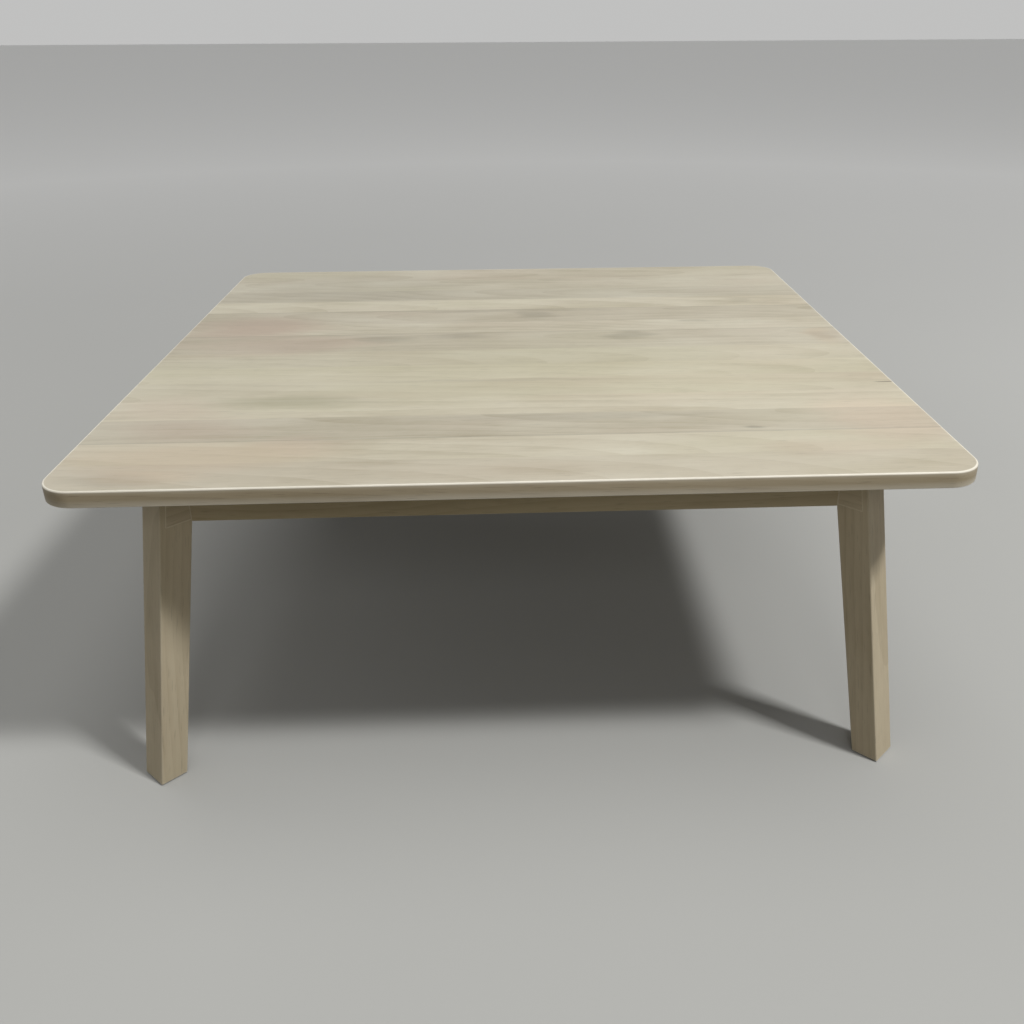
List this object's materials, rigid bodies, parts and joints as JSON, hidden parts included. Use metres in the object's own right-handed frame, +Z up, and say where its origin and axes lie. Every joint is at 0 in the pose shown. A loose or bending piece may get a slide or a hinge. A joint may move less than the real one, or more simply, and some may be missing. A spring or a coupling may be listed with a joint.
{
  "type": "kotatsu table",
  "caption": "Low square heated table with a loose rounded board, mitred rails, leaning square legs and a guarded quartz heater beneath.",
  "frame": {"origin": "on the floor, under the middle of the tabletop", "axes": "+Z up; front towards -Y; +X to the right seen from the front"},
  "size_m": [0.9, 0.9, 0.37],
  "materials": {
    "top_wood": "pale white-washed boards, satin lacquer",
    "frame_wood": "pale white-washed wood, satin lacquer",
    "leg_wood": "pale white-washed wood, satin lacquer",
    "dowel_wood": "bare beech",
    "clear_silicone": "translucent soft pads",
    "zinc_steel": "bright zinc",
    "felt": "pressed felt",
    "case_enamel": "off-white baked enamel",
    "guard_enamel": "dark heat-proof enamel",
    "insulation": "heat-proof felt",
    "reflector_aluminium": "bright rolled",
    "quartz": "milky quartz",
    "heating_alloy": "oxidised resistance wire",
    "ceramic": "unglazed",
    "black_plastic": "moulded",
    "brass": "plain",
    "lead_sleeve": "woven glass-fibre sleeve"
  },
  "bodies": {
    "frame": {"back_rail": "frame_wood", "bar_spacer_back": "frame_wood", "bar_spacer_front": "frame_wood", "corner_block_back_left": "frame_wood", "corner_block_back_right": "frame_wood", "corner_block_front_left": "frame_wood", "corner_block_front_right": "frame_wood", "crossbar_left": "frame_wood", "crossbar_right": "frame_wood", "foot_glides": "felt", "front_rail": "frame_wood", "guard_grille": "guard_enamel", "guard_nuts": "zinc_steel", "guard_screws": "zinc_steel", "hanger_bolts": "zinc_steel", "heater_case": "case_enamel", "heater_lid": "case_enamel", "heater_mount_screws": "zinc_steel", "heater_reflector": "reflector_aluminium", "heating_coils": "heating_alloy", "holder_rivets": "reflector_aluminium", "inlet_housing": "black_plastic", "inlet_pins": "brass", "insulating_sheet": "insulation", "lead_wires": "lead_sleeve", "left_rail": "frame_wood", "leg_back_left": "leg_wood", "leg_back_right": "leg_wood", "leg_front_left": "leg_wood", "leg_front_right": "leg_wood", "leg_nuts": "zinc_steel", "leg_washers": "zinc_steel", "lid_screws": "zinc_steel", "quartz_tubes": "quartz", "rail_dowels": "dowel_wood", "right_rail": "frame_wood", "slip_pads": "clear_silicone", "spacer_screws": "zinc_steel", "terminal_block": "ceramic", "terminal_screws": "brass", "thermal_fuse": "zinc_steel", "thermostat": "black_plastic", "tube_end_caps": "ceramic", "tube_holders": "zinc_steel"},
    "tabletop": {"tabletop_board": "top_wood"}
  },
  "joints": [
    {"name": "top_lift", "type": "slide", "parent": "frame", "child": "tabletop", "axis": [0, 0, 1], "range_m": [0, 0.25]}
  ]
}
